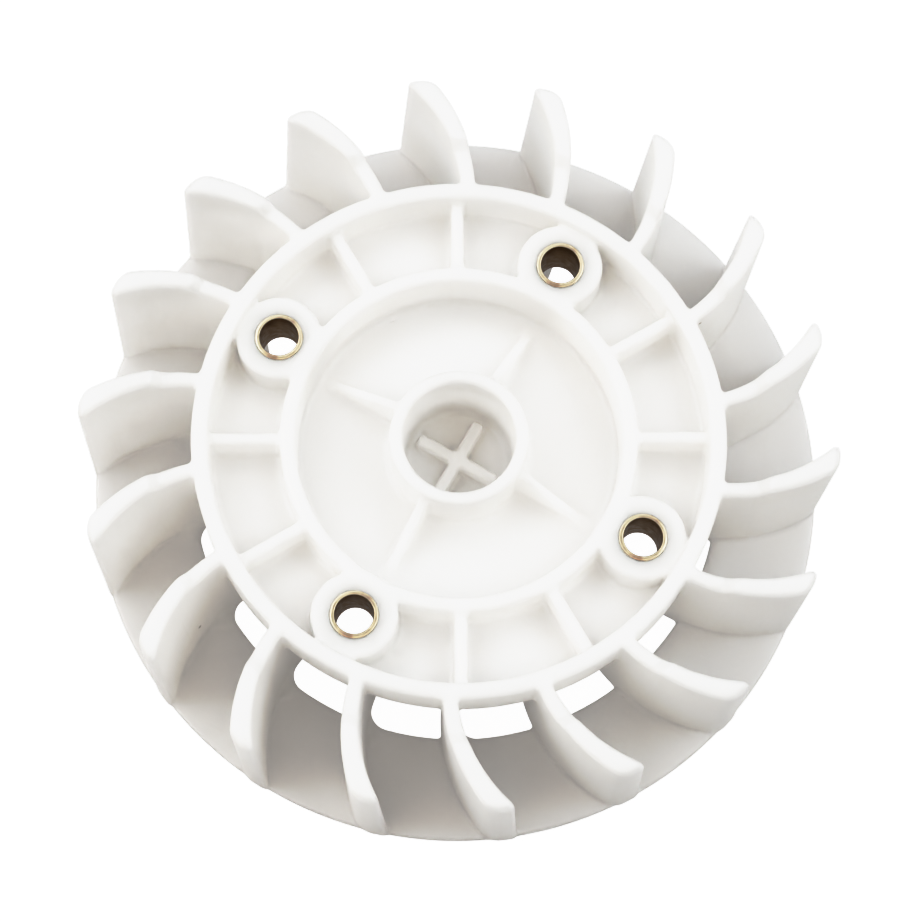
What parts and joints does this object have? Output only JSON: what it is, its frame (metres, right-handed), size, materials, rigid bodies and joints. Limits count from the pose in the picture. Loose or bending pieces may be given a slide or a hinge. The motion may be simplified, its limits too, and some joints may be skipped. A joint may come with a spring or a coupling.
{
  "type": "cooling fan wheel",
  "caption": "White nylon radial cooling fan wheel with curved blades and an annular back plate, bolted to a small engine's flywheel through metal sleeves.",
  "frame": {"origin": "centre of the four-hole bolt circle, in the plane of the sleeves' and bosses' back faces, where the wheel sits on the flywheel", "axes": "+Z along the spin axis to the front of the wheel, where the air comes in; +X from the axis through bolt_sleeve_1; +Y through bolt_sleeve_2"},
  "size_m": [0.1282, 0.1282, 0.0336],
  "materials": {
    "nylon": "white, slightly translucent nylon with a soft sheen",
    "sleeve": "yellow-zinc plated, brown tarnish inside the bore"
  },
  "bodies": {
    "root": {"fan_moulding": "nylon", "bolt_sleeve_1": "sleeve", "bolt_sleeve_2": "sleeve", "bolt_sleeve_3": "sleeve", "bolt_sleeve_4": "sleeve"}
  },
  "joints": []
}
